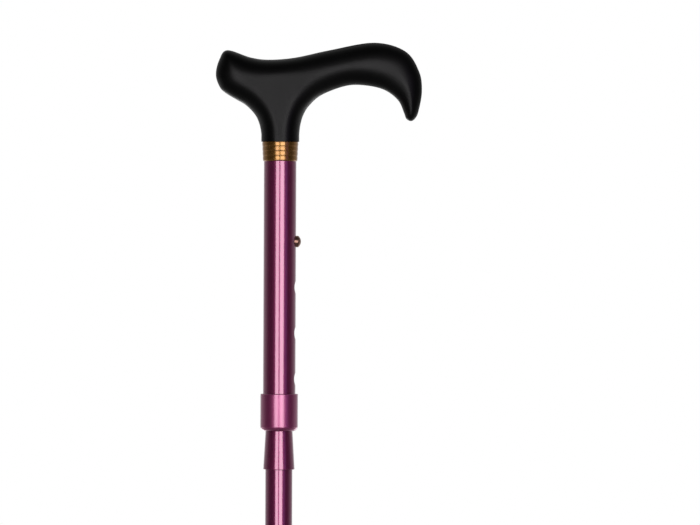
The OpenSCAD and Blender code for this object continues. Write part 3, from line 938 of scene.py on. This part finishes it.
tallPanel = dict(distance=2.2, low=0.05, high=1.5)
lowPanel = dict(distance=1.2, low=0.02, high=0.44)
lamps = dict(
    leftPanel=dict(azimuth=-16.5, width=23, level=3.2, colour=(1, 0.98, 1), **tallPanel),
    rightPanel=dict(azimuth=16.5, width=27, level=3.4, colour=(1, 0.98, 1), **tallPanel),
    coolPanel=dict(azimuth=44, width=22, level=0.25, colour=(0.6, 0.3, 1.0), **tallPanel),
    backLeftPanel=dict(azimuth=-162, width=18, level=1.8, colour=(1, 1, 1), **lowPanel),
    backRightPanel=dict(azimuth=150, width=24, level=1.4, colour=(1, 1, 1), **lowPanel),
)


# tall rectangle that spans the given angle as seen from the shaft, and shines with the given brightness
def makePanel(name, azimuth, width, level, colour, distance, low, high):
    height = (low + high) / 2
    data = bpy.data.lights.new(name, "AREA")
    data.shape = "RECTANGLE"
    data.size = 2 * distance * math.tan(math.radians(width / 2))
    data.size_y = high - low
    data.color = colour
    data.energy = level * math.pi * data.size * data.size_y
    panel = bpy.data.objects.new(name, data)
    a = math.radians(azimuth)
    panel.location = (distance * math.sin(a), -distance * math.cos(a), height)
    toShaft = Vector((0, 0, height)) - panel.location
    panel.rotation_euler = toShaft.to_track_quat("-Z", "Y").to_euler()
    panel.visible_camera = False
    bpy.context.scene.collection.objects.link(panel)


for name, values in lamps.items():
    makePanel(name, **values)

# reflected: brightness of the surroundings from the camera's side (0) past the sides (0.5) to the back (1)
studio = dict(ambient=0.34, reflected=[(0, 0.02), (0.45, 0.03), (0.68, 0.26), (0.80, 0.34), (1, 1)])


# value (0..1) turned into a level by a smooth curve through the given (value, level) points
def levelCurve(nodes, links, value, points):
    node = addNode(nodes, "ShaderNodeFloatCurve")
    levels = node.mapping.curves[0].points
    for place, level in points[1:-1]:
        levels.new(place, level)
    levels[0].location, levels[-1].location = points[0], points[-1]
    node.mapping.update()
    links.new(value, node.inputs["Value"])
    return node.outputs["Value"]


# world: white to the camera; reflections see a white back and dim sides; other light is even
def makeWorld():
    world = bpy.data.worlds.new("studioWorld")
    bpy.context.scene.world = world
    world.use_nodes = True
    nodes, links = world.node_tree.nodes, world.node_tree.links
    background = nodes["Background"]
    background.inputs["Color"].default_value = (1, 1, 1, 1)
    towards = addNode(nodes, "ShaderNodeTexCoord")
    split = addNode(nodes, "ShaderNodeSeparateXYZ")
    links.new(towards.outputs["Generated"], split.inputs["Vector"])
    back = remap(nodes, links, split.outputs["Y"], 0, 1, -1, 1)
    path = addNode(nodes, "ShaderNodeLightPath")
    forGloss = addNode(nodes, "ShaderNodeMix")
    forGloss.inputs["A"].default_value = studio["ambient"]
    links.new(path.outputs["Is Glossy Ray"], forGloss.inputs["Factor"])
    links.new(levelCurve(nodes, links, back, studio["reflected"]), forGloss.inputs["B"])
    seen = addNode(nodes, "ShaderNodeMath", operation="MAXIMUM")
    links.new(path.outputs["Is Camera Ray"], seen.inputs[0])
    links.new(path.outputs["Is Transmission Ray"], seen.inputs[1])
    forCamera = addNode(nodes, "ShaderNodeMix")
    forCamera.inputs["B"].default_value = 1.0
    links.new(seen.outputs["Value"], forCamera.inputs["Factor"])
    links.new(forGloss.outputs["Result"], forCamera.inputs["A"])
    links.new(forCamera.outputs["Result"], background.inputs["Strength"])
    world.cycles.sampling_method = "NONE"


makeWorld()

floor = dict(radius=4.0, rings=24, columns=96, colour=(0.86, 0.86, 0.85), rough=0.7,
             pale=(0.55, 1.0), paleReach=(0.5, 2.0), mirroredReach=2.0,
             mirrored=[(0, 0.03), (0.38, 0.05), (0.50, 0.09), (0.65, 0.36), (1, 0.8)])


# pale floor: to the camera it pales to white with the way out, over a share of its own light, so that the
# shadow by the foot stays; mirrored is its brightness in reflections from the front (0) past the foot (0.5)
# to the back (1)
def floorMaterial():
    material, nodes, links = newMaterial("paleFloor")
    shader = nodes["Principled BSDF"]
    setSockets(shader, Base_Color=(*floor["colour"], 1), Roughness=floor["rough"])
    place = addNode(nodes, "ShaderNodeTexCoord")
    away = addNode(nodes, "ShaderNodeVectorMath", operation="LENGTH")
    links.new(place.outputs["Object"], away.inputs[0])
    split = addNode(nodes, "ShaderNodeSeparateXYZ")
    links.new(place.outputs["Object"], split.inputs["Vector"])
    path = addNode(nodes, "ShaderNodeLightPath")
    pale = remap(nodes, links, away.outputs["Value"], *floor["pale"], *floor["paleReach"])
    back = remap(nodes, links, split.outputs["Y"], 0, 1, -floor["mirroredReach"], floor["mirroredReach"])
    mirrored = levelCurve(nodes, links, back, floor["mirrored"])
    share = addNode(nodes, "ShaderNodeMath", operation="MULTIPLY_ADD")
    links.new(path.outputs["Is Camera Ray"], share.inputs[0])
    links.new(pale, share.inputs[1])
    links.new(path.outputs["Is Glossy Ray"], share.inputs[2])
    level = addNode(nodes, "ShaderNodeMix")
    level.inputs["A"].default_value = 1.0
    links.new(path.outputs["Is Glossy Ray"], level.inputs["Factor"])
    links.new(mirrored, level.inputs["B"])
    white = addNode(nodes, "ShaderNodeEmission")
    links.new(level.outputs["Result"], white.inputs["Strength"])
    either = addNode(nodes, "ShaderNodeMixShader")
    links.new(share.outputs["Value"], either.inputs["Fac"])
    links.new(shader.outputs["BSDF"], either.inputs[1])
    links.new(white.outputs["Emission"], either.inputs[2])
    side = addNode(nodes, "ShaderNodeNewGeometry")
    clear = addNode(nodes, "ShaderNodeBsdfTransparent")
    oneSided = addNode(nodes, "ShaderNodeMixShader")  # clear from below, so that the sole can be seen
    links.new(side.outputs["Backfacing"], oneSided.inputs["Fac"])
    links.new(either.outputs["Shader"], oneSided.inputs[1])
    links.new(clear.outputs["BSDF"], oneSided.inputs[2])
    links.new(oneSided.outputs["Shader"], nodes["Material Output"].inputs["Surface"])
    return material


# rings of points round the foot, whose radius grows by the square of their number
def makeFloor():
    r = np.linspace(0, 1, floor["rings"])[:, None] ** 2 * floor["radius"]
    angle = np.linspace(0, fullTurn, floor["columns"], endpoint=False)
    grid = np.stack([r * np.cos(angle), r * np.sin(angle), 0 * r * angle], -1).reshape(-1, 3)
    mesh = bpy.data.meshes.new("paleFloor")
    faces = gridFaces(floor["rings"], floor["columns"])[:, ::-1]
    mesh.from_pydata(grid.tolist(), [], faces.tolist())
    mesh.materials.append(floorMaterial())
    ground = bpy.data.objects.new("paleFloor", mesh)
    bpy.context.scene.collection.objects.link(ground)


makeFloor()
bpy.context.scene.view_settings.view_transform = "Standard"
print("studio: camera, panels, world and floor")
